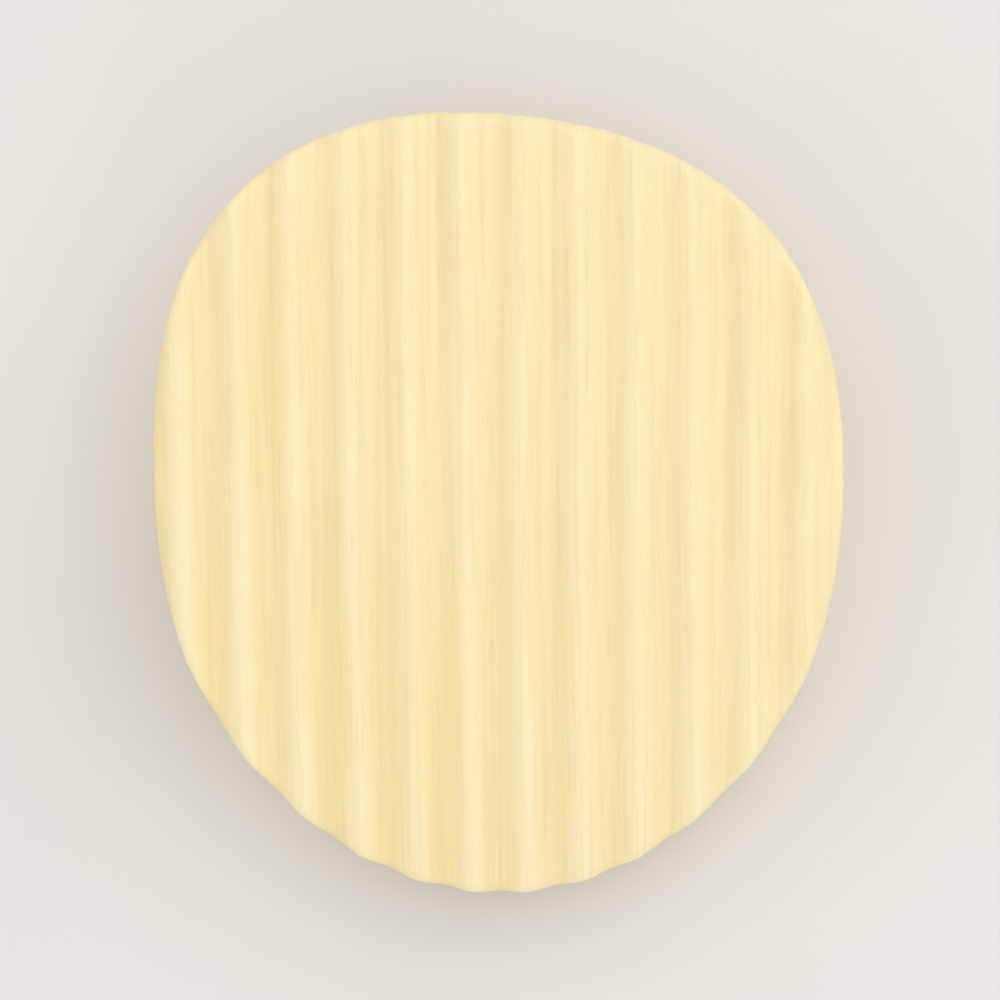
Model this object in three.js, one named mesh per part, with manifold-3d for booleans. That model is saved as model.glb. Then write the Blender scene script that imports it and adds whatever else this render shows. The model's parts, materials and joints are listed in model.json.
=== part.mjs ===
// A spring clip for closing snack bags, made to look like a crinkle-cut potato chip.
//
// Two moulded chips, a front jaw and a rear jaw, turn on one steel pin. A torsion spring round the pin pushes
// their handle ends apart, which presses the soft strips at their other ends together on the bag.
//
// Millimetres, +Z up. The clip lies on its rear jaw: X runs along the hinge pin, +Y towards the handle end,
// and the origin is on the table, under the middle of the clip. The front jaw rises towards the handle end.

import * as THREE from "three";
import { mergeVertices } from "three/addons/utils/BufferGeometryUtils.js";
import Module from "manifold-3d";

// Chip outline: a mean radius, and its waviness as harmonics of the angle round the chip.
const CHIP_RADIUS = 27.75;
const OUTLINE_HARMONICS = [
  { order: 1, cosine: 0.002, sine: 0.045 },
  { order: 2, cosine: -0.07, sine: -0.008 },
  { order: 3, cosine: 0.008, sine: 0.021 },
  { order: 4, cosine: -0.012, sine: 0.005 },
  { order: 5, cosine: -0.002, sine: -0.011 },
];
const OUTLINE_POINTS = 84;

// Chip wall: a corrugated sheet whose ends curve inwards and whose sides curve outwards.
const WALL = 2;
const RIDGE_PITCH = 4.2;
const RIDGE_HEIGHT = 0.9;
const END_CURL = 1.2;
const SIDE_CURL = 0.8;
const CHIP_HALF_LENGTH = 29.5;
const CHIP_HALF_WIDTH = 26;
const SAMPLES_PER_RIDGE = 6;
const LENGTHWISE_STEPS = 7;

// Hinge: each jaw's inner plane is this far from the pin's axis, and the jaws make this angle when closed.
const JAW_OFFSET = 6.2;
const CLOSED_ANGLE = THREE.MathUtils.degToRad(16);
const CHIP_CENTRE = 2.5; // from the pin towards the handle end
const PIN_RADIUS = 1.25;
const FIXED_BORE_RADIUS = 1.35;
const RUNNING_BORE_RADIUS = 1.4;
const PIN_END_CLEARANCE = 0.8;
const PIN_HEAD_RADIUS = 2.3;
const PIN_HEAD_THICKNESS = 0.9;
const PIN_CHAMFER = 0.3;
const ROUND_SIDES = 24;

// Hinge lugs: an eye round the pin on a tapered foot. The front jaw's pair runs between the rear jaw's.
const LUG_EYE_RADIUS = 3.3;
const LUG_FOOT_HALF = 6;
const LUG_THICKNESS = 2.2;
const FRONT_LUG_INNER = 5;
const LUG_GAP = 0.3;
const REAR_LUG_INNER = FRONT_LUG_INNER + LUG_THICKNESS + LUG_GAP;
const ROOT = 1; // how far a rib or lug is sunk into the wall behind it

// Stiffening ribs from the lugs towards the handle end.
const RIB_THICKNESS = 1.2;
const RIB_RISE = 1.5;
const RIB_END = 19;

// Clamp bar across the jaw end, with a groove that holds the soft strip. Its ends follow the chip's edge.
const BAR_AT = 17.6; // from the pin towards the jaw end
const BAR_WIDTH = 5.2;
const BAR_INSET = 0.9; // from the chip's edge
const BAR_FACE = 0.95; // from the closing plane to the bar's face
const GROOVE_DEPTH = 1.2;
const STRIP_WIDTH = 3;
const STRIP_HALF_LENGTH = 12.6;
const STRIP_FACE = 0.15; // from the closing plane to the strip's crests
const STRIP_TEETH = 3;
const TOOTH_DEPTH = 0.45;
const FIT_GAP = 0.3;

// Torsion spring.
const WIRE_RADIUS = 0.55;
const COIL_RADIUS = 2.8;
const COIL_HALF_LENGTH = 3.4;
const COIL_FULL_TURNS = 5;
const LEG_REACH = 15.5; // from the pin to a leg's tip
const WIRE_STEPS = 96;
const WIRE_SIDES = 8;

// Spring seat on each jaw: a flat pad with a cheek on each side of the leg.
const SEAT_START = 10;
const SEAT_END = 17;
const SEAT_RISE = 0.9;
const CHEEK_RISE = 1.3;
const CHEEK_THICKNESS = 0.9;

// Flat round land in the middle of the rear jaw's outer face.
const LAND_RADIUS = 6;
const LAND_DEPTH = 0.5; // below the wall's mean outer surface, which is just under the ridges' troughs

const PLASTIC = new THREE.MeshStandardMaterial({ color: "#f8e0a4", roughness: 0.5, metalness: 0 });
const SOFT_STRIP = new THREE.MeshStandardMaterial({ color: "#efe6d2", roughness: 0.75, metalness: 0 });
const SPRING_STEEL = new THREE.MeshStandardMaterial({ color: "#b4b6b8", roughness: 0.3, metalness: 1 });
const PLATED_STEEL = new THREE.MeshStandardMaterial({ color: "#c6c8ca", roughness: 0.22, metalness: 1 });

const wasm = await Module();
wasm.setup();

/** A closed three.js geometry as a manifold-3d solid. */
function solidOf(geometry) {
  const bare = geometry.index ? geometry.toNonIndexed() : geometry.clone();
  bare.deleteAttribute("normal");
  bare.deleteAttribute("uv");
  const merged = mergeVertices(bare, 1e-4);
  return new wasm.Manifold(
    new wasm.Mesh({
      numProp: 3,
      vertProperties: merged.attributes.position.array,
      triVerts: new Uint32Array(merged.index.array),
    }),
  );
}

/** A manifold-3d solid as a three.js geometry. */
function geometryOf(solid) {
  const mesh = solid.getMesh();
  const geometry = new THREE.BufferGeometry();
  geometry.setAttribute("position", new THREE.BufferAttribute(mesh.vertProperties, 3));
  geometry.setIndex(new THREE.BufferAttribute(mesh.triVerts, 1));
  geometry.computeVertexNormals();
  return geometry;
}

/** Distance from the chip's centre to its edge at an angle. */
function outlineRadius(angle) {
  const waviness = OUTLINE_HARMONICS.reduce(
    (sum, { order, cosine, sine }) => sum + cosine * Math.cos(order * angle) + sine * Math.sin(order * angle),
    0,
  );
  return CHIP_RADIUS * (1 + waviness);
}

/** How far the chip's surface stands out of its flat plane at a point measured from the chip's centre. */
function surfaceHeight(x, y) {
  const ridge = (-RIDGE_HEIGHT / 2) * Math.cos((2 * Math.PI * x) / RIDGE_PITCH);
  return ridge + SIDE_CURL * (x / CHIP_HALF_WIDTH) ** 2 - END_CURL * (y / CHIP_HALF_LENGTH) ** 2;
}

/** A shape drawn in the YZ plane, extruded along X between two places. */
function extrudedAcross(points, from, to) {
  const geometry = new THREE.ExtrudeGeometry(new THREE.Shape(points), {
    depth: to - from,
    bevelEnabled: false,
  });
  // The shape's own X and Y become Y and Z, and its depth becomes X.
  geometry.applyMatrix4(new THREE.Matrix4().makeBasis(
    new THREE.Vector3(0, 1, 0), new THREE.Vector3(0, 0, 1), new THREE.Vector3(1, 0, 0)));
  return solidOf(geometry.translate(from, 0, 0));
}

/** A rectangle in the YZ plane as the points of a shape. */
function rectangle(y0, z0, y1, z1) {
  return [[y0, z0], [y1, z0], [y1, z1], [y0, z1]].map(([y, z]) => new THREE.Vector2(y, z));
}

/**
 * Everything inside the chip's outline, less an inset, in its jaw's frame: the origin is on the pin's axis
 * and +Z points outwards. side is 1, or -1 for the outline's mirror image.
 */
function insideOutline(side, inset) {
  const edge = Array.from({ length: OUTLINE_POINTS }, (_, i) => {
    const angle = (2 * Math.PI * i) / OUTLINE_POINTS;
    const radius = outlineRadius(angle) - inset;
    return new THREE.Vector2(side * radius * Math.cos(angle), radius * Math.sin(angle));
  });
  const prism = new THREE.ExtrudeGeometry(new THREE.Shape(edge), {
    depth: 4 * JAW_OFFSET,
    bevelEnabled: false,
  });
  return solidOf(prism.translate(0, CHIP_CENTRE, -JAW_OFFSET));
}

/** The chip's corrugated wall in its jaw's frame. */
function chipWall(side) {
  const ridges = Math.ceil((2 * CHIP_HALF_WIDTH + WALL) / RIDGE_PITCH);
  const sheet = new THREE.BoxGeometry(
    ridges * RIDGE_PITCH, 2 * CHIP_HALF_LENGTH + WALL, WALL, ridges * SAMPLES_PER_RIDGE, LENGTHWISE_STEPS, 1);
  const place = sheet.attributes.position;
  for (let i = 0; i < place.count; i++) {
    place.setZ(i, place.getZ(i) + surfaceHeight(place.getX(i), place.getY(i)));
  }
  sheet.translate(0, CHIP_CENTRE, JAW_OFFSET + WALL / 2);
  return solidOf(sheet).intersect(insideOutline(side, 0));
}

/** A lug's side view: an arc round the pin, and straight flanks tangent to it that end in the foot. */
function lugProfile() {
  const foot = new THREE.Vector2(LUG_FOOT_HALF, JAW_OFFSET + ROOT);
  const tangent = Math.acos(LUG_EYE_RADIUS / foot.length());
  const start = foot.angle() - tangent;
  const sweep = Math.PI + 2 * start;
  const arc = Array.from({ length: ROUND_SIDES / 2 + 1 }, (_, i) => {
    const angle = Math.PI - start + (sweep * i) / (ROUND_SIDES / 2);
    return new THREE.Vector2(Math.cos(angle), Math.sin(angle)).multiplyScalar(LUG_EYE_RADIUS);
  });
  return [foot, new THREE.Vector2(-foot.x, foot.y), ...arc];
}

/** The cylinder on the pin's axis that clears a lug. */
function bore(radius) {
  const cylinder = new THREE.CylinderGeometry(radius, radius, 2 * CHIP_RADIUS, ROUND_SIDES);
  return solidOf(cylinder.rotateZ(Math.PI / 2));
}

/** The flat-bottomed round recess in the rear jaw's outer face. */
function landRecess() {
  const face = JAW_OFFSET + WALL - LAND_DEPTH;
  const cylinder = new THREE.CylinderGeometry(LAND_RADIUS, LAND_RADIUS, WALL, 2 * ROUND_SIDES);
  return solidOf(cylinder.rotateX(Math.PI / 2).translate(0, CHIP_CENTRE, face + WALL / 2));
}

/** The hinge lugs of one jaw, and the ribs behind them. */
function lugs(inner) {
  const middle = inner + LUG_THICKNESS / 2;
  const rib = rectangle(0, JAW_OFFSET - RIB_RISE, RIB_END, JAW_OFFSET + ROOT);
  const pair = [-1, 1].flatMap((side) => {
    const low = side * middle - LUG_THICKNESS / 2;
    const ribLow = side * middle - RIB_THICKNESS / 2;
    return [
      extrudedAcross(lugProfile(), low, low + LUG_THICKNESS),
      extrudedAcross(rib, ribLow, ribLow + RIB_THICKNESS),
    ];
  });
  return wasm.Manifold.union(pair);
}

/** Turns something drawn against the plane where the two jaws meet into a jaw's frame. */
function onClosingPlane(solid) {
  return solid.rotate([-THREE.MathUtils.radToDeg(CLOSED_ANGLE / 2), 0, 0]);
}

/** The clamp bar across the jaw end, with its groove. */
function clampBar(side) {
  const root = JAW_OFFSET - END_CURL + ROOT - BAR_AT * Math.tan(CLOSED_ANGLE / 2);
  const bar = extrudedAcross(
    rectangle(-BAR_AT - BAR_WIDTH / 2, BAR_FACE, -BAR_AT + BAR_WIDTH / 2, root), -CHIP_RADIUS, CHIP_RADIUS);
  const half = STRIP_WIDTH / 2 + FIT_GAP;
  const groove = extrudedAcross(
    rectangle(-BAR_AT - half, 0, -BAR_AT + half, BAR_FACE + GROOVE_DEPTH),
    -STRIP_HALF_LENGTH - FIT_GAP, STRIP_HALF_LENGTH + FIT_GAP);
  return onClosingPlane(bar.subtract(groove)).intersect(insideOutline(side, BAR_INSET));
}

/** The soft strip, with teeth along its face, in its jaw's frame. */
function gripStrip() {
  const toothWidth = STRIP_WIDTH / STRIP_TEETH;
  const left = -BAR_AT - STRIP_WIDTH / 2;
  const back = BAR_FACE + GROOVE_DEPTH - FIT_GAP;
  const face = Array.from({ length: 2 * STRIP_TEETH + 1 }, (_, i) => {
    const valley = i % 2 ? 0 : TOOTH_DEPTH;
    return new THREE.Vector2(left + (i * toothWidth) / 2, STRIP_FACE + valley);
  });
  const profile = [...face, new THREE.Vector2(left + STRIP_WIDTH, back), new THREE.Vector2(left, back)];
  return onClosingPlane(extrudedAcross(profile, -STRIP_HALF_LENGTH, STRIP_HALF_LENGTH));
}

/** The pad and cheeks that hold a spring leg, in the jaw's frame. */
function springSeat() {
  const middle = COIL_HALF_LENGTH;
  const channel = WIRE_RADIUS + FIT_GAP;
  const top = JAW_OFFSET - SEAT_RISE;
  const outer = channel + CHEEK_THICKNESS;
  const pad = extrudedAcross(
    rectangle(SEAT_START, top, SEAT_END, JAW_OFFSET + ROOT), middle - outer, middle + outer);
  const cheeks = [-1, 1].map((side) => {
    const low = middle + (side > 0 ? channel : -outer);
    return extrudedAcross(
      rectangle(SEAT_START, top - CHEEK_RISE, SEAT_END, JAW_OFFSET), low, low + CHEEK_THICKNESS);
  });
  return wasm.Manifold.union([pad, ...cheeks]);
}

/** One jaw as a single moulding: chip wall, lugs, ribs, clamp bar and spring seat. */
function jaw({ side, lugInner, boreRadius }) {
  return wasm.Manifold
    .union([chipWall(side), lugs(lugInner), clampBar(side), springSeat()])
    .subtract(bore(boreRadius));
}

function frontJawMoulding() {
  return jaw({ side: 1, lugInner: FRONT_LUG_INNER, boreRadius: RUNNING_BORE_RADIUS });
}

function rearJawMoulding() {
  const moulding = jaw({ side: -1, lugInner: REAR_LUG_INNER, boreRadius: FIXED_BORE_RADIUS });
  return moulding.subtract(landRecess());
}

/** The spring's centreline: a straight leg, a coil round the pin, and a second straight leg. */
class SpringWire extends THREE.Curve {
  constructor() {
    super();
    const tip = new THREE.Vector2(LEG_REACH, JAW_OFFSET - SEAT_RISE - FIT_GAP - WIRE_RADIUS);
    // The legs touch the coil at these angles, measured from +Y in the YZ plane.
    const touch = tip.angle() + Math.acos(COIL_RADIUS / tip.length());
    this.rearTouch = -touch;
    this.sweep = 2 * touch + CLOSED_ANGLE - 2 * Math.PI * (COIL_FULL_TURNS + 1);
    this.rearTip = new THREE.Vector3(-COIL_HALF_LENGTH, tip.x, -tip.y);
    this.frontTip = new THREE.Vector3(COIL_HALF_LENGTH, tip.x, tip.y);
    this.frontTip.applyAxisAngle(new THREE.Vector3(1, 0, 0), CLOSED_ANGLE);
    this.legLength = this.rearTip.distanceTo(this.onCoil(0));
    this.coilLength = Math.hypot(this.sweep * COIL_RADIUS, 2 * COIL_HALF_LENGTH);
  }

  onCoil(share) {
    const angle = this.rearTouch + this.sweep * share;
    return new THREE.Vector3(
      COIL_HALF_LENGTH * (2 * share - 1), COIL_RADIUS * Math.cos(angle), COIL_RADIUS * Math.sin(angle));
  }

  getPoint(share, target = new THREE.Vector3()) {
    const along = share * (2 * this.legLength + this.coilLength);
    const inCoil = along - this.legLength;
    const beyond = inCoil - this.coilLength;
    if (inCoil < 0) return target.lerpVectors(this.rearTip, this.onCoil(0), along / this.legLength);
    if (beyond > 0) return target.lerpVectors(this.onCoil(1), this.frontTip, beyond / this.legLength);
    return target.copy(this.onCoil(inCoil / this.coilLength));
  }
}

/** The torsion spring, as a round wire along its centreline. */
function torsionSpring() {
  const section = Array.from({ length: WIRE_SIDES }, (_, i) => {
    const angle = (2 * Math.PI * i) / WIRE_SIDES;
    return new THREE.Vector2(Math.cos(angle), Math.sin(angle)).multiplyScalar(WIRE_RADIUS);
  });
  return new THREE.ExtrudeGeometry(new THREE.Shape(section), {
    steps: WIRE_STEPS,
    extrudePath: new SpringWire(),
  });
}

/** The hinge pin along X: a shaft with a chamfered end and a flat head. */
function hingePin() {
  const end = REAR_LUG_INNER + LUG_THICKNESS + PIN_END_CLEARANCE;
  const underHead = REAR_LUG_INNER + LUG_THICKNESS + FIT_GAP;
  const top = underHead + PIN_HEAD_THICKNESS;
  const profile = [
    [0, -end],
    [PIN_RADIUS - PIN_CHAMFER, -end],
    [PIN_RADIUS, -end + PIN_CHAMFER],
    [PIN_RADIUS, underHead],
    [PIN_HEAD_RADIUS, underHead],
    [PIN_HEAD_RADIUS, top - PIN_CHAMFER],
    [PIN_HEAD_RADIUS - PIN_CHAMFER, top],
    [0, top],
  ];
  const points = profile.map(([radius, along]) => new THREE.Vector2(radius, along));
  return new THREE.LatheGeometry(points, ROUND_SIDES).rotateZ(-Math.PI / 2);
}

function part(name, geometry, material) {
  const mesh = new THREE.Mesh(geometry, material);
  mesh.name = name;
  return mesh;
}

const frontJaw = new THREE.Group();
frontJaw.rotation.x = CLOSED_ANGLE;
frontJaw.add(
  part("front_chip_jaw", geometryOf(frontJawMoulding()), PLASTIC),
  part("front_grip_strip", geometryOf(gripStrip()), SOFT_STRIP),
);

// The rear jaw faces down, so its frame is turned over about Y and its outline is mirrored to match.
const rearJaw = new THREE.Group();
rearJaw.rotation.y = Math.PI;
rearJaw.add(
  part("rear_chip_jaw", geometryOf(rearJawMoulding()), PLASTIC),
  part("rear_grip_strip", geometryOf(gripStrip()), SOFT_STRIP),
);

const hinge = new THREE.Group();
hinge.add(
  frontJaw,
  rearJaw,
  part("torsion_spring", torsionSpring(), SPRING_STEEL),
  part("hinge_pin", hingePin(), PLATED_STEEL),
);

// Stand the clip on the table, with the origin under the middle of its outer box.
const extent = new THREE.Box3().setFromObject(hinge, true);
const middle = extent.getCenter(new THREE.Vector3());
hinge.position.set(-middle.x, -middle.y, -extent.min.z);

const clip = new THREE.Group();
clip.add(hinge);

export default clip;
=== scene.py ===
"""The looks of the chip-shaped bag clip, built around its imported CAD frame.

Shapes are drawn in millimetres, and place() turns them into metres in the row's frame. A jaw's frame has its
origin on the pin's axis, +Y towards the handle end and +Z out of the chip's ridged face. The clamp bar and
the grip strip are drawn in the closing frame: the jaw's frame, turned so that the two strips meet in its XY
plane.
"""

import json
import math
from collections import Counter

import bmesh
import bpy
import numpy as np
from mathutils import Matrix, Vector


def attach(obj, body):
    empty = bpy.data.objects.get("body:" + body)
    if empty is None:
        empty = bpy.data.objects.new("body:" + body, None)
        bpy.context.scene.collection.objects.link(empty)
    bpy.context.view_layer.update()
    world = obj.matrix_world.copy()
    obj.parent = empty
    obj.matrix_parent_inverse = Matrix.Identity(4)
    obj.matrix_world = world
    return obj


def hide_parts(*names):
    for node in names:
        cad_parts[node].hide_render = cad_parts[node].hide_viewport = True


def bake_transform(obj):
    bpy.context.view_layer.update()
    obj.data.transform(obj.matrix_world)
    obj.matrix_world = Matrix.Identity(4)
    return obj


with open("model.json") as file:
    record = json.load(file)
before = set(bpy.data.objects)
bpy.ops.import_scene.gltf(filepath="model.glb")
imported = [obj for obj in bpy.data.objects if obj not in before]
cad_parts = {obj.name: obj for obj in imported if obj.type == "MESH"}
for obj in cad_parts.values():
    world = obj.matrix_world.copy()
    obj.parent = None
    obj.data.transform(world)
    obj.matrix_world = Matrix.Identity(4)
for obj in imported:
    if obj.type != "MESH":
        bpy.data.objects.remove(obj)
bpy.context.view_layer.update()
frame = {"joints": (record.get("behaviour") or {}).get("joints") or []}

# Sizes that part.mjs sets, in millimetres.
CHIP_RADIUS = 27.75
OUTLINE_HARMONICS = (  # order, cosine, sine
    (1, 0.002, 0.045),
    (2, -0.07, -0.008),
    (3, 0.008, 0.021),
    (4, -0.012, 0.005),
    (5, -0.002, -0.011),
)
WALL = 2
RIDGE_PITCH = 4.2
RIDGE_HEIGHT = 0.9
END_CURL = 1.2
SIDE_CURL = 0.8
CHIP_HALF_LENGTH = 29.5
CHIP_HALF_WIDTH = 26
JAW_OFFSET = 6.2
CLOSED_ANGLE = math.radians(16)
CHIP_CENTRE = 2.5
PIN_RADIUS = 1.25
PIN_HEAD_RADIUS = 2.3
PIN_HEAD_THICKNESS = 0.9
PIN_END_CLEARANCE = 0.8
BORE_RADIUS = 1.33
LUG_EYE_RADIUS = 3.3
LUG_FOOT_HALF = 6
LUG_THICKNESS = 2.2
FRONT_LUG_INNER = 5
REAR_LUG_INNER = 7.5
ROOT = 1
RIB_THICKNESS = 1.2
RIB_RISE = 1.5
RIB_END = 19
BAR_AT = 17.6
BAR_WIDTH = 5.2
BAR_INSET = 0.9
BAR_FACE = 0.95
GROOVE_DEPTH = 1.2
STRIP_WIDTH = 3
STRIP_HALF_LENGTH = 12.6
STRIP_FACE = 0.15
STRIP_TEETH = 3
TOOTH_DEPTH = 0.45
FIT_GAP = 0.3
WIRE_RADIUS = 0.55
COIL_RADIUS = 2.8
COIL_HALF_LENGTH = 3.4
COIL_FULL_TURNS = 5
LEG_REACH = 15.5
SEAT_START = 10
SEAT_END = 17
SEAT_RISE = 0.9
CHEEK_RISE = 1.3
CHEEK_THICKNESS = 0.9
LAND_RADIUS = 6
LAND_DEPTH = 0.5

# Finer shape, in millimetres.
CHIP_CELLS = 204  # across the chip's face
OUTER_EDGE = 0.75  # radius of the rim's edge on the ridged side
INNER_EDGE = 0.45
EDGE_STEPS = 6
INSIDE_CAD = 0.03  # keeps the smooth chip inside the box of the faceted one
SWELL_DEPTH = 0.035  # the unevenness of the ridges, in long swells and in fine scores
SCORE_DEPTH = 0.03
SCORE_PITCH = 1.4
SLIVER = 0.001  # points nearer than this are merged
SOFT_EDGE = 0.3  # rounding of the lugs, ribs, bar and seat
SOFT_EDGE_STEPS = 4
ROOT_FILLET = 1.1  # where a lug's flanks meet the chip
ARC_STEPS = 24
BAR_ROWS = 7
OUTLINE_SAMPLES = 3600
LAND_FILLET = 0.25
LAND_SIDES = 96
SQUEEZE = 0.02  # gap between a strip and its groove
SHOULDER = 0.1  # how far below the bar's face a strip's wide root starts
STRIP_EDGE = 0.08
STEPS_PER_TOOTH = 12
WIRE_SIDES = 28
WIRE_CUT = 0.14  # length of the rounded end of the wire
WIRE_CUT_SHARE = 0.7  # the end face's share of the wire's radius
LEG_STEPS = 24
STEPS_PER_TURN = 44
PIN_SIDES = 64
PIN_TIP_ROUNDING = 0.45
PIN_NECK = 0.12  # relief under the pin's head
HEAD_EDGE = 0.1
HEAD_ROUNDING = 0.25
HEAD_DOME = 0.42
HEAD_DOME_POWER = 2.4
HEAD_DOME_SHARES = (0.8, 0.65, 0.5, 0.35, 0.2, 0.1)  # of the head's radius, from the brow to the middle

PIN_AXIS = Vector(frame["joints"][0]["pos_m"])
MM = Matrix.Scale(0.001, 4)
FRONT_FRAME = Matrix.Translation(PIN_AXIS) @ Matrix.Rotation(CLOSED_ANGLE, 4, "X") @ MM
REAR_FRAME = Matrix.Translation(PIN_AXIS) @ Matrix.Rotation(math.pi, 4, "Y") @ MM
PIN_FRAME = Matrix.Translation(PIN_AXIS) @ MM
CLOSING_TURN = Matrix.Rotation(-CLOSED_ANGLE / 2, 4, "X")


# Meshes ---------------------------------------------------------------------------------------------------


def new_object(name, verts, faces):
    mesh = bpy.data.meshes.new(name)
    mesh.from_pydata([tuple(v) for v in verts], [], [tuple(f) for f in faces])
    piece = bpy.data.objects.new(name, mesh)
    bpy.context.scene.collection.objects.link(piece)
    return piece


def face_outwards(piece):
    """Turns a closed mesh's faces so that they all point out."""
    shape = bmesh.new()
    shape.from_mesh(piece.data)
    bmesh.ops.recalc_face_normals(shape, faces=shape.faces)
    shape.to_mesh(piece.data)
    shape.free()
    return piece


def combine(base, others, operation):
    """Joins others to base, or cuts them from it, and removes them."""
    for other in others:
        boolean = base.modifiers.new("combine", "BOOLEAN")
        boolean.operation = operation
        boolean.solver = "MANIFOLD"
        boolean.object = other
    depsgraph = bpy.context.evaluated_depsgraph_get()
    result = bpy.data.meshes.new_from_object(base.evaluated_get(depsgraph))
    base.modifiers.clear()
    base.data = result
    for other in others:
        bpy.data.objects.remove(other)
    return base


def close_slivers(piece):
    """Merges the nearly coincident points that a boolean leaves, and removes faces that then lie double."""
    shape = bmesh.new()
    shape.from_mesh(piece.data)
    bmesh.ops.triangulate(shape, faces=shape.faces)
    bmesh.ops.remove_doubles(shape, verts=shape.verts, dist=SLIVER)
    bmesh.ops.dissolve_degenerate(shape, edges=shape.edges, dist=SLIVER)
    corners = [frozenset(face.verts) for face in shape.faces]
    seen = Counter(corners)
    doubled = [face for face, key in zip(shape.faces, corners) if seen[key] > 1]
    bmesh.ops.delete(shape, geom=doubled, context="FACES")
    shape.to_mesh(piece.data)
    shape.free()


def extrusion(name, near, far):
    """A solid between two flat outlines with the same number of points."""
    count = len(near)
    faces = [tuple(range(count)), tuple(range(2 * count - 1, count - 1, -1))]
    faces += [(i, i + count, (i + 1) % count + count, (i + 1) % count) for i in range(count)]
    return face_outwards(new_object(name, [*near, *far], faces))


def prism(name, outline, low, high, edge=SOFT_EDGE):
    """A list of (y, z), extruded along X from low to high, with soft edges."""
    near, far = ([(x, y, z) for y, z in outline] for x in (low, high))
    piece = extrusion(name, near, far)
    if edge:
        soften(piece, edge)
    return piece


def soften(piece, edge, sharper_than=math.radians(30)):
    """Rounds a piece's convex edges."""
    shape = bmesh.new()
    shape.from_mesh(piece.data)
    sharp = [e for e in shape.edges if e.is_convex and e.calc_face_angle() > sharper_than]
    bmesh.ops.bevel(
        shape,
        geom=sharp,
        offset=edge,
        segments=SOFT_EDGE_STEPS,
        profile=0.5,
        affect="EDGES",
        clamp_overlap=True,
    )
    shape.to_mesh(piece.data)
    shape.free()


def rectangle(y0, z0, y1, z1):
    return [(y0, z0), (y1, z0), (y1, z1), (y0, z1)]


def cylinder_along_x(name, radius, half_length):
    angles = np.linspace(0, 2 * math.pi, PIN_SIDES, endpoint=False)
    outline = [(radius * math.cos(a), radius * math.sin(a)) for a in angles]
    return prism(name, outline, -half_length, half_length, edge=0)


def lathe(name, profile, sides):
    """A profile of (radius, height) turned round Z. The first and last points are on the axis."""
    angles = np.linspace(0, 2 * math.pi, sides, endpoint=False)
    rings = profile[1:-1]
    verts = [(r * math.cos(a), r * math.sin(a), z) for r, z in rings for a in angles]
    verts += [(0, 0, profile[0][1]), (0, 0, profile[-1][1])]
    first, last = len(verts) - 2, len(verts) - 1
    top = (len(rings) - 1) * sides
    faces = []
    for i in range(sides):
        j = (i + 1) % sides
        faces.append((first, j, i))
        faces.append((last, top + i, top + j))
        faces += [
            (k * sides + i, k * sides + j, (k + 1) * sides + j, (k + 1) * sides + i)
            for k in range(len(rings) - 1)
        ]
    return face_outwards(new_object(name, verts, faces))


def arc(centre, radius, start, end, steps=5):
    """Points on an arc. Angles are in radians."""
    angles = np.linspace(start, end, steps + 1)
    return [(centre[0] + radius * math.cos(a), centre[1] + radius * math.sin(a)) for a in angles]


def smooth_faces(piece, crease=math.radians(36)):
    piece.data.shade_smooth()
    piece.data.set_sharp_from_angle(angle=crease)


# The chip's surface ---------------------------------------------------------------------------------------


def outline_radius(angle):
    waviness = sum(c * np.cos(n * angle) + s * np.sin(n * angle) for n, c, s in OUTLINE_HARMONICS)
    return CHIP_RADIUS * (1 + waviness)


def surface_height(x, y):
    """How far the chip's surface stands out of its flat plane, measured from the chip's centre."""
    ridge = -RIDGE_HEIGHT / 2 * np.cos(2 * math.pi * x / RIDGE_PITCH)
    return ridge + SIDE_CURL * (x / CHIP_HALF_WIDTH) ** 2 - END_CURL * (y / CHIP_HALF_LENGTH) ** 2


def wave(turns):
    """A smooth wave between 0 and 1."""
    return 0.5 + 0.5 * np.sin(2 * math.pi * turns)


def unevenness(x, y):
    """The cut potato's uneven surface: always inwards, and under a tenth of a millimetre."""
    swells = wave(y / 46 + 0.33 * np.sin(x / 5.1))
    scores = wave(x / SCORE_PITCH + 0.27 * np.sin(y / 23 + x / 9))
    patches = wave(x / 23 + 0.2) * wave(y / 69 - x / 82)
    return -SWELL_DEPTH * swells - SCORE_DEPTH * scores * patches


def disc_grid(cells):
    """A square grid bent into a disc: each point's share of the radius and its angle."""
    a, b = np.meshgrid(np.linspace(-1, 1, cells + 1), np.linspace(-1, 1, cells + 1))
    across = np.abs(a) >= np.abs(b)
    wide = np.where(a == 0, 1, a)
    tall = np.where(b == 0, 1, b)
    share = np.where(across, a, b)
    angle = np.where(across, math.pi / 4 * b / wide, math.pi / 2 - math.pi / 4 * a / tall)
    angle = np.where(share < 0, angle + math.pi, angle)
    return np.abs(share).ravel(), angle.ravel()


def grid_border(cells):
    """Indices of a square grid's border points, in order round it."""
    row = cells + 1
    step = np.arange(cells)
    bottom, right = step, step * row + cells
    top, left = cells * row + cells - step, (cells - step) * row
    return np.concatenate([bottom, right, top, left])


def rim_profile():
    """The rim's section, from the outer to the inner face: (inset from the outline, height in the wall)."""
    turn = np.linspace(0, math.pi / 2, EDGE_STEPS + 1)
    outer = [(OUTER_EDGE * (1 - math.sin(t)), WALL / 2 - OUTER_EDGE * (1 - math.cos(t))) for t in turn]
    inner = [(INNER_EDGE * (1 - math.cos(t)), -WALL / 2 + INNER_EDGE * (1 - math.sin(t))) for t in turn]
    return outer + inner


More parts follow.
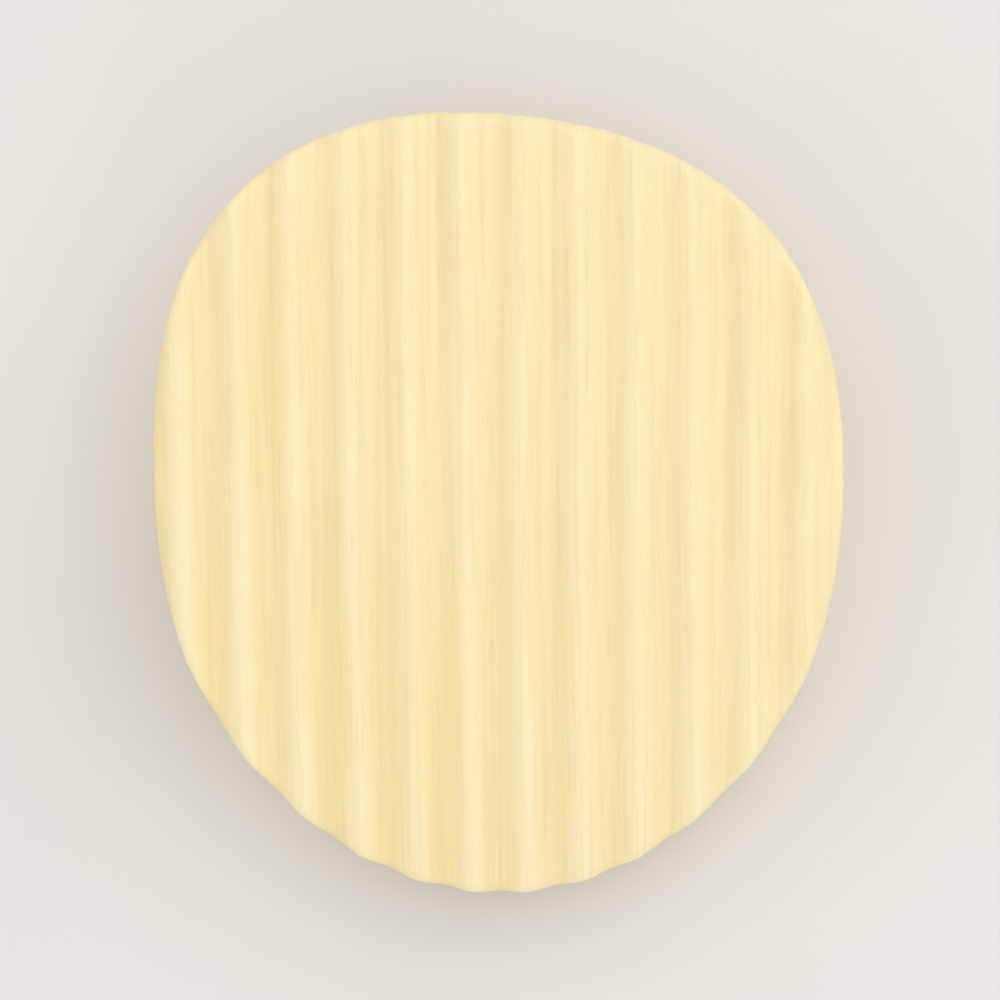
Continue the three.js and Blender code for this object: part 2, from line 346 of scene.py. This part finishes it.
def wall_faces(face_points, border, ring_count):
    """The faces of two grids of points, joined round their borders by rings of points that follow them."""
    row = CHIP_CELLS + 1
    corner = (np.arange(CHIP_CELLS)[:, None] * row + np.arange(CHIP_CELLS)).ravel()
    quads = np.column_stack([corner, corner + 1, corner + row + 1, corner + row])
    ring = 2 * face_points + np.arange(len(border))
    loops = [border, *(ring + k * len(border) for k in range(ring_count)), face_points + border]
    bands = [
        np.column_stack([above, below, np.roll(below, -1), np.roll(above, -1)])
        for above, below in zip(loops, loops[1:])
    ]
    return np.vstack([quads, quads[:, ::-1] + face_points, *bands])


def chip_wall(name, side):
    """The corrugated wall with its rounded rim, in the jaw's frame. side is -1 for the mirrored outline."""
    share, angle = disc_grid(CHIP_CELLS)
    border = grid_border(CHIP_CELLS)
    profile = rim_profile()

    def layer(share, angle, inset, height):
        radius = share * (outline_radius(angle) - INSIDE_CAD - inset)
        x, y = side * radius * np.cos(angle), radius * np.sin(angle)
        z = JAW_OFFSET + WALL / 2 + surface_height(x, y) + height
        if height > 0:
            z = z + (unevenness(x, y) - INSIDE_CAD) * height / (WALL / 2)
        return np.column_stack([x, y + CHIP_CENTRE, z])

    outer = layer(share, angle, *profile[0])
    inner = layer(share, angle, *profile[-1])
    rings = [layer(1, angle[border], *point) for point in profile[1:-1]]
    verts = np.vstack([outer, inner, *rings])
    faces = wall_faces(len(outer), border, len(rings))
    return face_outwards(new_object(name, verts.tolist(), faces.tolist()))


def bar_ends(y):
    """Where a line across the chip, y from the pin, meets its outline less the bar's inset."""
    angles = np.linspace(0, 2 * math.pi, OUTLINE_SAMPLES, endpoint=False)
    radius = outline_radius(angles) - BAR_INSET
    above = radius * np.sin(angles) > y - CHIP_CENTRE
    crossings = radius * np.cos(angles)
    return sorted(crossings[above != np.roll(above, 1)])


# The jaws' inner features ---------------------------------------------------------------------------------


def lug_outline():
    """An arc round the pin, with flanks tangent to it that curve out into the chip at their roots."""
    foot = Vector((LUG_FOOT_HALF, JAW_OFFSET + ROOT))
    start = math.atan2(foot.y, foot.x) - math.acos(LUG_EYE_RADIUS / foot.length)
    touch = LUG_EYE_RADIUS * Vector((math.cos(start), math.sin(start)))
    flank = (foot - touch).normalized()
    lean = math.atan2(flank.y, flank.x)
    root = touch + flank * (JAW_OFFSET + ROOT_FILLET / 4 - touch.y) / flank.y
    centre = root + ROOT_FILLET * Vector((math.tan(lean / 2), -1))
    right = [(centre.x, foot.y), *arc(centre, ROOT_FILLET, math.pi / 2, math.pi / 2 + lean)]
    left = [(-y, z) for y, z in right]
    eye = arc((0, 0), LUG_EYE_RADIUS, math.pi - start, 2 * math.pi + start, ARC_STEPS)
    return [*left, *eye, *reversed(right)]


def lugs_and_ribs(inner):
    top = JAW_OFFSET - RIB_RISE
    base = JAW_OFFSET + ROOT
    rib = [(0, base), (0, top), (RIB_END - RIB_RISE, top), (RIB_END + RIB_RISE, base)]
    pieces = []
    for side in (-1, 1):
        middle = side * (inner + LUG_THICKNESS / 2)
        for name, outline, thickness in (("lug", lug_outline(), LUG_THICKNESS), ("rib", rib, RIB_THICKNESS)):
            pieces.append(prism(name, outline, middle - thickness / 2, middle + thickness / 2))
    return pieces


def clamp_bar(side):
    """The bar that carries the grip strip, with ends that follow the chip's outline, and its groove."""
    root = JAW_OFFSET - END_CURL + ROOT - BAR_AT * math.tan(CLOSED_ANGLE / 2)
    rows = np.linspace(-BAR_AT - BAR_WIDTH / 2, -BAR_AT + BAR_WIDTH / 2, BAR_ROWS)
    ends = [sorted(side * x for x in bar_ends(y)) for y in rows]
    plan = [(low, y) for y, (low, _) in zip(rows, ends)]
    plan += [(high, y) for y, (_, high) in zip(rows[::-1], ends[::-1])]
    near, far = ([(x, y, z) for x, y in plan] for z in (BAR_FACE, root))
    bar = extrusion("bar", near, far)
    soften(bar, SOFT_EDGE, sharper_than=math.radians(20))
    half = STRIP_WIDTH / 2 + FIT_GAP
    length = STRIP_HALF_LENGTH + FIT_GAP
    section = rectangle(-BAR_AT - half, 0, -BAR_AT + half, BAR_FACE + GROOVE_DEPTH)
    combine(bar, [prism("groove", section, -length, length, edge=0)], "DIFFERENCE")
    bar.data.transform(CLOSING_TURN)
    return bar


def spring_seat():
    """A pad under the end of the spring's leg, with a cheek on each side of it."""
    middle = COIL_HALF_LENGTH
    channel = WIRE_RADIUS + FIT_GAP
    outer = channel + CHEEK_THICKNESS
    top = JAW_OFFSET - SEAT_RISE
    pad = rectangle(SEAT_START, top, SEAT_END, JAW_OFFSET + ROOT)
    cheek = rectangle(SEAT_START, top - CHEEK_RISE, SEAT_END, JAW_OFFSET)
    pieces = [prism("pad", pad, middle - outer, middle + outer)]
    for low in (middle - outer, middle + channel):
        pieces.append(prism("cheek", cheek, low, low + CHEEK_THICKNESS))
    return pieces


def land_recess():
    """What is cut from the rear chip's outer face to leave its flat round land."""
    face = JAW_OFFSET + WALL - LAND_DEPTH
    corner = (LAND_RADIUS - LAND_FILLET, face + LAND_FILLET)
    edge = arc(corner, LAND_FILLET, -math.pi / 2, 0)
    recess = lathe("recess", [(0, face), *edge, (LAND_RADIUS, face + WALL), (0, face + WALL)], LAND_SIDES)
    recess.data.transform(Matrix.Translation((0, CHIP_CENTRE, 0)))
    return recess


def jaw(name, side, lug_inner):
    moulding = chip_wall(name, side)
    combine(moulding, [*lugs_and_ribs(lug_inner), clamp_bar(side), *spring_seat()], "UNION")
    cuts = [cylinder_along_x("bore", BORE_RADIUS, CHIP_RADIUS)]
    if side < 0:
        cuts.append(land_recess())
    combine(moulding, cuts, "DIFFERENCE")
    close_slivers(moulding)
    smooth_faces(moulding)
    return moulding


# Strips, spring and pin -----------------------------------------------------------------------------------


def grip_strip(name):
    """A soft strip with rounded teeth along its face. Its root fills the bar's groove."""
    half = STRIP_WIDTH / 2
    root = half + FIT_GAP - SQUEEZE
    back = BAR_FACE + GROOVE_DEPTH - SQUEEZE
    shoulder = BAR_FACE + SHOULDER
    share = np.linspace(0, 1, STEPS_PER_TOOTH * STRIP_TEETH + 1)
    height = STRIP_FACE + TOOTH_DEPTH * (0.5 + 0.5 * np.cos(2 * math.pi * STRIP_TEETH * share))
    outline = [*zip(STRIP_WIDTH * share - half, height)]
    outline += [(half, shoulder), (root, shoulder), (root, back)]
    outline += [(-root, back), (-root, shoulder), (-half, shoulder)]
    strip = prism(
        name, [(y - BAR_AT, z) for y, z in outline], -STRIP_HALF_LENGTH, STRIP_HALF_LENGTH, STRIP_EDGE)
    strip.data.transform(CLOSING_TURN)
    smooth_faces(strip)
    return strip


def coil_path(start, sweep):
    """The coil's centreline. Its pitch fades in and out over half a turn, to leave the legs smoothly."""
    turns = abs(sweep) / (2 * math.pi)
    share = np.linspace(0, 1, round(turns * STEPS_PER_TURN) + 1)
    slope = np.clip(2 * turns * np.minimum(share, 1 - share), 0, 1)
    advance = np.concatenate([[0], np.cumsum((slope[1:] + slope[:-1]) / 2)])
    x = COIL_HALF_LENGTH * (2 * advance / advance[-1] - 1)
    angle = start + sweep * share
    return np.column_stack([x, COIL_RADIUS * np.cos(angle), COIL_RADIUS * np.sin(angle)])


def wire_path():
    """The spring's centreline in the pin's frame: the rear leg, the coil and the front leg."""
    tip = Vector((LEG_REACH, JAW_OFFSET - SEAT_RISE - FIT_GAP - WIRE_RADIUS))
    touch = math.atan2(tip.y, tip.x) + math.acos(COIL_RADIUS / tip.length)
    coil = coil_path(-touch, 2 * touch + CLOSED_ANGLE - 2 * math.pi * (COIL_FULL_TURNS + 1))
    rear_tip = np.array([-COIL_HALF_LENGTH, tip.x, -tip.y])
    front_tip = np.array(Matrix.Rotation(CLOSED_ANGLE, 3, "X") @ Vector((COIL_HALF_LENGTH, tip.x, tip.y)))
    along = np.linspace(0, 1, LEG_STEPS, endpoint=False)[:, None]
    rear_leg = rear_tip + (coil[0] - rear_tip) * along
    front_leg = front_tip + (coil[-1] - front_tip) * along
    return np.vstack([rear_leg, coil, front_leg[::-1]])


def round_wire(name, path):
    """A round wire along a path that never runs along X, with slightly rounded cut ends."""
    tangent = np.gradient(path, axis=0)
    tangent /= np.linalg.norm(tangent, axis=1)[:, None]
    inset = WIRE_CUT * tangent[[0, -1]]
    centres = np.vstack([path[0], path[0] + inset[0], path[1:-1], path[-1] - inset[1], path[-1]])
    tangent = np.vstack([tangent[0], tangent, tangent[-1]])
    radius = np.full(len(centres), float(WIRE_RADIUS))
    radius[[0, -1]] *= WIRE_CUT_SHARE
    across = np.array([1.0, 0, 0]) - tangent[:, :1] * tangent
    across /= np.linalg.norm(across, axis=1)[:, None]
    other = np.cross(tangent, across)
    angles = np.linspace(0, 2 * math.pi, WIRE_SIDES, endpoint=False)[:, None]
    rings = [
        centre + r * (np.cos(angles) * a + np.sin(angles) * b)
        for centre, r, a, b in zip(centres, radius, across, other)
    ]
    around = [(i, (i + 1) % WIRE_SIDES) for i in range(WIRE_SIDES)]
    starts = [k * WIRE_SIDES for k in range(len(rings))]
    faces = [(k + i, k + j, k + WIRE_SIDES + j, k + WIRE_SIDES + i) for k in starts[:-1] for i, j in around]
    faces += [tuple(range(k, k + WIRE_SIDES)) for k in (starts[0], starts[-1])]
    wire = face_outwards(new_object(name, np.vstack(rings), faces))
    smooth_faces(wire)
    return wire


def hinge_pin(name):
    """The pin along X: a domed head at one end and a rounded end at the other."""
    tip = -(REAR_LUG_INNER + LUG_THICKNESS + PIN_END_CLEARANCE)
    under_head = REAR_LUG_INNER + LUG_THICKNESS + FIT_GAP
    top = under_head + PIN_HEAD_THICKNESS
    tip_centre = (PIN_RADIUS - PIN_TIP_ROUNDING, tip + PIN_TIP_ROUNDING)
    brow_centre = (PIN_HEAD_RADIUS - HEAD_ROUNDING, top - 2 * HEAD_ROUNDING)
    dome = [(PIN_HEAD_RADIUS * s, top - HEAD_DOME * s ** HEAD_DOME_POWER) for s in HEAD_DOME_SHARES]
    profile = [
        (0, tip),
        *arc(tip_centre, PIN_TIP_ROUNDING, -math.pi / 2, 0),
        (PIN_RADIUS, under_head - PIN_NECK),
        (PIN_RADIUS + PIN_NECK, under_head),
        (PIN_HEAD_RADIUS - HEAD_EDGE, under_head),
        (PIN_HEAD_RADIUS, under_head + HEAD_EDGE),
        *arc(brow_centre, HEAD_ROUNDING, 0, math.radians(70)),
        *dome,
        (0, top),
    ]
    pin = lathe(name, profile, PIN_SIDES)
    pin.data.transform(Matrix.Rotation(math.pi / 2, 4, "Y"))
    smooth_faces(pin)
    return pin


# Materials ------------------------------------------------------------------------------------------------


class Nodes:
    """A material's node tree, with short ways to add and join nodes."""

    def __init__(self, name):
        self.material = bpy.data.materials.new(name)
        self.material.use_nodes = True
        self.tree = self.material.node_tree
        self.shader = self.tree.nodes["Principled BSDF"]

    def add(self, kind, **settings):
        node = self.tree.nodes.new(kind)
        for key, value in settings.items():
            setattr(node, key, value)
        return node

    def link(self, source, target):
        self.tree.links.new(source, target)

    def math(self, operation, first, second=None):
        node = self.add("ShaderNodeMath", operation=operation)
        for socket, value in zip(node.inputs, (first, second)):
            if isinstance(value, (int, float)):
                socket.default_value = value
            elif value is not None:
                self.link(value, socket)
        return node.outputs[0]

    def stretched(self, scale):
        """Object coordinates in millimetres, scaled along each axis."""
        position = self.add("ShaderNodeTexCoord").outputs["Object"]
        mapping = self.add("ShaderNodeMapping")
        mapping.inputs["Scale"].default_value = [1000 * s for s in scale]
        self.link(position, mapping.inputs["Vector"])
        return mapping.outputs[0]

    def normal_z(self):
        """How far a surface faces up or down, from -1 to 1."""
        parts = self.add("ShaderNodeSeparateXYZ")
        self.link(self.add("ShaderNodeTexCoord").outputs["Normal"], parts.inputs[0])
        return parts.outputs[2]

    def noise(self, scale, detail=3.0, roughness=0.5):
        """Noise from 0 to 1. scale is its frequency per millimetre along each axis."""
        node = self.add("ShaderNodeTexNoise")
        node.inputs["Scale"].default_value = 1
        node.inputs["Detail"].default_value = detail
        node.inputs["Roughness"].default_value = roughness
        self.link(self.stretched(scale), node.inputs["Vector"])
        return node.outputs["Fac"]

    def ramp(self, value, stops):
        node = self.add("ShaderNodeValToRGB")
        while len(node.color_ramp.elements) < len(stops):
            node.color_ramp.elements.new(0.5)
        for element, (position, colour) in zip(node.color_ramp.elements, stops):
            element.position = position
            element.color = (*colour, 1)
        self.link(value, node.inputs[0])
        return node.outputs[0]

    def spread(self, value, low, high, over=(0, 1)):
        """A value that runs over the given range, turned into one that runs from low to high."""
        node = self.add("ShaderNodeMapRange")
        node.inputs["From Min"].default_value = over[0]
        node.inputs["From Max"].default_value = over[1]
        node.inputs["To Min"].default_value = low
        node.inputs["To Max"].default_value = high
        self.link(value, node.inputs["Value"])
        return node.outputs[0]

    def mix(self, blend, share, first, second):
        # In a Mix node of colours, inputs 6 and 7 are the colours and output 2 is the result.
        node = self.add("ShaderNodeMix", data_type="RGBA", blend_type=blend)
        for socket, value in zip((node.inputs[0], node.inputs[6], node.inputs[7]), (share, first, second)):
            if isinstance(value, (int, float)):
                socket.default_value = value
            elif isinstance(value, tuple):
                socket.default_value = (*value, 1)
            else:
                self.link(value, socket)
        return node.outputs[2]

    def bump(self, height, distance, below=None):
        """A bump of a height in millimetres, laid over another one."""
        node = self.add("ShaderNodeBump")
        node.inputs["Distance"].default_value = distance / 1000
        self.link(height, node.inputs["Height"])
        if below is not None:
            self.link(below, node.inputs["Normal"])
        return node.outputs[0]

    def set(self, **values):
        """Sets the shader's sockets to numbers, tuples or other nodes' outputs."""
        for name, value in values.items():
            socket = self.shader.inputs[name.replace("_", " ")]
            if isinstance(value, (int, float, tuple)):
                socket.default_value = value
            else:
                self.link(value, socket)


def srgb(hex_colour):
    """A colour written as #rrggbb, as the linear numbers that shaders take."""
    parts = [int(hex_colour[i:i + 2], 16) / 255 for i in (1, 3, 5)]
    return tuple(p / 12.92 if p <= 0.04045 else ((p + 0.055) / 1.055) ** 2.4 for p in parts)


WHITE = (1.0, 1.0, 1.0)


def ridge_colour_and_painted_shade(n):
    """Pale yellow, with painted shade: the troughs are painted darker than the crests, and more so towards
    the clamping end and the left side (low x + y).
    """
    position = n.add("ShaderNodeSeparateXYZ")
    n.link(n.stretched((1, 1, 1)), position.inputs[0])
    x, y = position.outputs[0], position.outputs[1]
    turns = n.math("MULTIPLY", n.math("SUBTRACT", x, 1000 * PIN_AXIS.x), 2 * math.pi / RIDGE_PITCH)
    crest = n.spread(n.math("COSINE", turns), 1, 0, over=(-1, 1))
    # Painted shade: the darker trough colour stands in for shade between the ridges, mixed in more strongly
    # towards the lower left.
    painted_shade_share = n.spread(n.math("ADD", x, y), 0.95, 0.1, over=(-32, 20))
    painted_trough_shade = n.ramp(crest, [(0.0, srgb("#f5e2ad")), (0.45, srgb("#f8e7b7")), (1.0, srgb("#faedc4"))])
    return n.mix("MIX", painted_shade_share, srgb("#f9e9bc"), painted_trough_shade)


def chip_plastic():
    """Pale yellow moulded plastic, with the cut potato's fine streaks and scores along the ridges."""
    n = Nodes("chip_plastic")
    level = n.math("ABSOLUTE", n.normal_z())
    streaks = n.noise((2.4, 0.06, 0.03), detail=3, roughness=0.55)
    scores = n.noise((1.2, 0.06, 0.03), detail=2)
    clouds = n.noise((0.05, 0.04, 0.05), detail=2)
    grain = n.noise((9, 0.22, 9), detail=2)
    streak_tint = n.ramp(streaks, [(0.38, srgb("#f0efe3")), (0.48, srgb("#fbfaf5")), (0.62, WHITE)])
    # Scores are thin contour lines of their noise, so they run in pairs.
    score_tint = n.ramp(scores, [
        (0.355, WHITE), (0.375, srgb("#eeecdf")), (0.395, WHITE),
        (0.51, WHITE), (0.535, srgb("#f0eee2")), (0.56, WHITE),
    ])
    cloud_tint = n.ramp(clouds, [(0.3, srgb("#fcf5e4")), (0.7, WHITE)])
    colour = n.mix("MULTIPLY", n.spread(level, 0, 0.42, over=(0.4, 0.8)), ridge_colour_and_painted_shade(n), streak_tint)
    colour = n.mix("MULTIPLY", n.spread(level, 0, 0.26, over=(0.4, 0.8)), colour, score_tint)
    n.set(
        Base_Color=n.mix("MULTIPLY", 0.4, colour, cloud_tint),
        Roughness=n.spread(streaks, 0.38, 0.54),
        Subsurface_Weight=0.18,
        Subsurface_Scale=0.0012,
        Subsurface_Radius=(1.0, 0.7, 0.3),
        Normal=n.bump(streaks, 0.04, below=n.bump(grain, 0.012)),
    )
    return n.material


def soft_rubber():
    n = Nodes("soft_rubber")
    mottle = n.noise((0.5, 0.5, 0.5), detail=3)
    skin = n.noise((6, 6, 6), detail=2)
    n.set(
        Base_Color=n.ramp(mottle, [(0.3, srgb("#e6dcc6")), (0.7, srgb("#f0e9d8"))]),
        Roughness=n.spread(skin, 0.6, 0.8),
        Normal=n.bump(skin, 0.02),
        Subsurface_Weight=0.08,
        Subsurface_Scale=0.001,
    )
    return n.material


def spring_steel():
    """Drawn wire: bright, with a faint straw tint and marks along the wire."""
    n = Nodes("spring_steel")
    tint = n.noise((0.35, 0.35, 0.35), detail=4)
    marks = n.noise((7, 1.2, 1.2), detail=3)
    n.set(
        Base_Color=n.ramp(tint, [(0.3, srgb("#a9a59c")), (0.5, srgb("#bcbab6")), (0.7, srgb("#c6c7c8"))]),
        Metallic=1.0,
        Roughness=n.spread(marks, 0.22, 0.38),
        Normal=n.bump(marks, 0.006),
    )
    return n.material


def plated_steel():
    """Nickel plate over turned steel: fine rings on the head and along the shaft."""
    n = Nodes("plated_steel")
    rings = n.noise((14, 0.4, 0.4), detail=2)
    haze = n.noise((0.8, 0.8, 0.8), detail=3)
    n.set(
        Base_Color=n.ramp(haze, [(0.3, srgb("#c4c2bd")), (0.7, srgb("#d8d7d4"))]),
        Metallic=1.0,
        Roughness=n.spread(haze, 0.14, 0.26),
        Normal=n.bump(rings, 0.004),
    )
    return n.material


# Putting it together --------------------------------------------------------------------------------------


def place(piece, where, material, node, body=None):
    """Puts a drawn piece in the row's frame, in metres, as the looks of one CAD node."""
    piece.data.transform(where)
    piece.data.materials.clear()
    piece.data.materials.append(material)
    if body:
        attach(piece, body)
    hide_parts(node)
    return piece


def place_jaw(end, where, side, lug_inner):
    """One jaw's moulding and its grip strip."""
    chip = jaw(f"{end}_chip", side, lug_inner)
    place(chip, where, PLASTIC, f"{end}_chip_jaw", f"{end}_jaw")
    strip = grip_strip(f"{end}_strip")
    place(strip, where, RUBBER, f"{end}_grip_strip", f"{end}_jaw")


def place_spring():
    """The spring: a round wire with its coil between the two jaws and a leg to each."""
    spring = round_wire("spring", wire_path())
    place(spring, PIN_FRAME, spring_steel(), "torsion_spring")
    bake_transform(spring)


PLASTIC = chip_plastic()
RUBBER = soft_rubber()
place_jaw("front", FRONT_FRAME, 1, FRONT_LUG_INNER)
place_jaw("rear", REAR_FRAME, -1, REAR_LUG_INNER)
place(hinge_pin("pin"), PIN_FRAME, plated_steel(), "hinge_pin", "rear_jaw")
place_spring()


# Stage ----------------------------------------------------------------------------------------------------


def floor(reach):
    n = Nodes("floor")
    paper = n.noise((0.02, 0.02, 0.02), detail=2)
    n.set(Base_Color=n.ramp(paper, [(0.3, srgb("#e2e0dd")), (0.7, srgb("#e7e5e2"))]), Roughness=0.85)
    corners = [(-reach, -reach, 0), (reach, -reach, 0), (reach, reach, 0), (-reach, reach, 0)]
    sheet = new_object("floor", corners, [(0, 1, 2, 3)])
    sheet.data.materials.append(n.material)


def soft_light(name, position, size, power):
    """A round lamp that shines on the clip."""
    lamp = bpy.data.lights.new(name, "AREA")
    lamp.shape = "DISK"
    lamp.size = size
    lamp.energy = power
    light = bpy.data.objects.new(name, lamp)
    light.location = position
    light.rotation_euler = (MIDDLE - Vector(position)).to_track_quat("-Z", "Y").to_euler()
    bpy.context.scene.collection.objects.link(light)


def sky(strength):
    world = bpy.data.worlds.new("studio")
    world.use_nodes = True
    background = world.node_tree.nodes["Background"]
    background.inputs["Color"].default_value = (1, 0.99, 0.975, 1)
    background.inputs["Strength"].default_value = strength
    bpy.context.scene.world = world


def camera(offset, lens):
    """A camera offset from the clip's middle, with +Y up in its picture."""
    back = Vector(offset).normalized()
    right = Vector((0, 1, 0)).cross(back).normalized()
    turn = Matrix((right, back.cross(right), back)).transposed().to_4x4()
    data = bpy.data.cameras.new("camera")
    data.lens = lens
    view = bpy.data.objects.new("camera", data)
    view.matrix_world = Matrix.Translation(MIDDLE + Vector(offset)) @ turn
    bpy.context.scene.collection.objects.link(view)
    bpy.context.scene.camera = view


MIDDLE = Vector((0, -0.0005, 0.014))
floor(reach=1.5)
sky(strength=0.87)
soft_light("key", (0.12, 0.12, 0.24), size=0.3, power=0.12)
soft_light("sheen", (0.06, -0.08, 0.4), size=0.3, power=0.2)
camera(offset=(0.014, -0.035, 0.285), lens=138)
bpy.context.scene.view_settings.view_transform = "Standard"
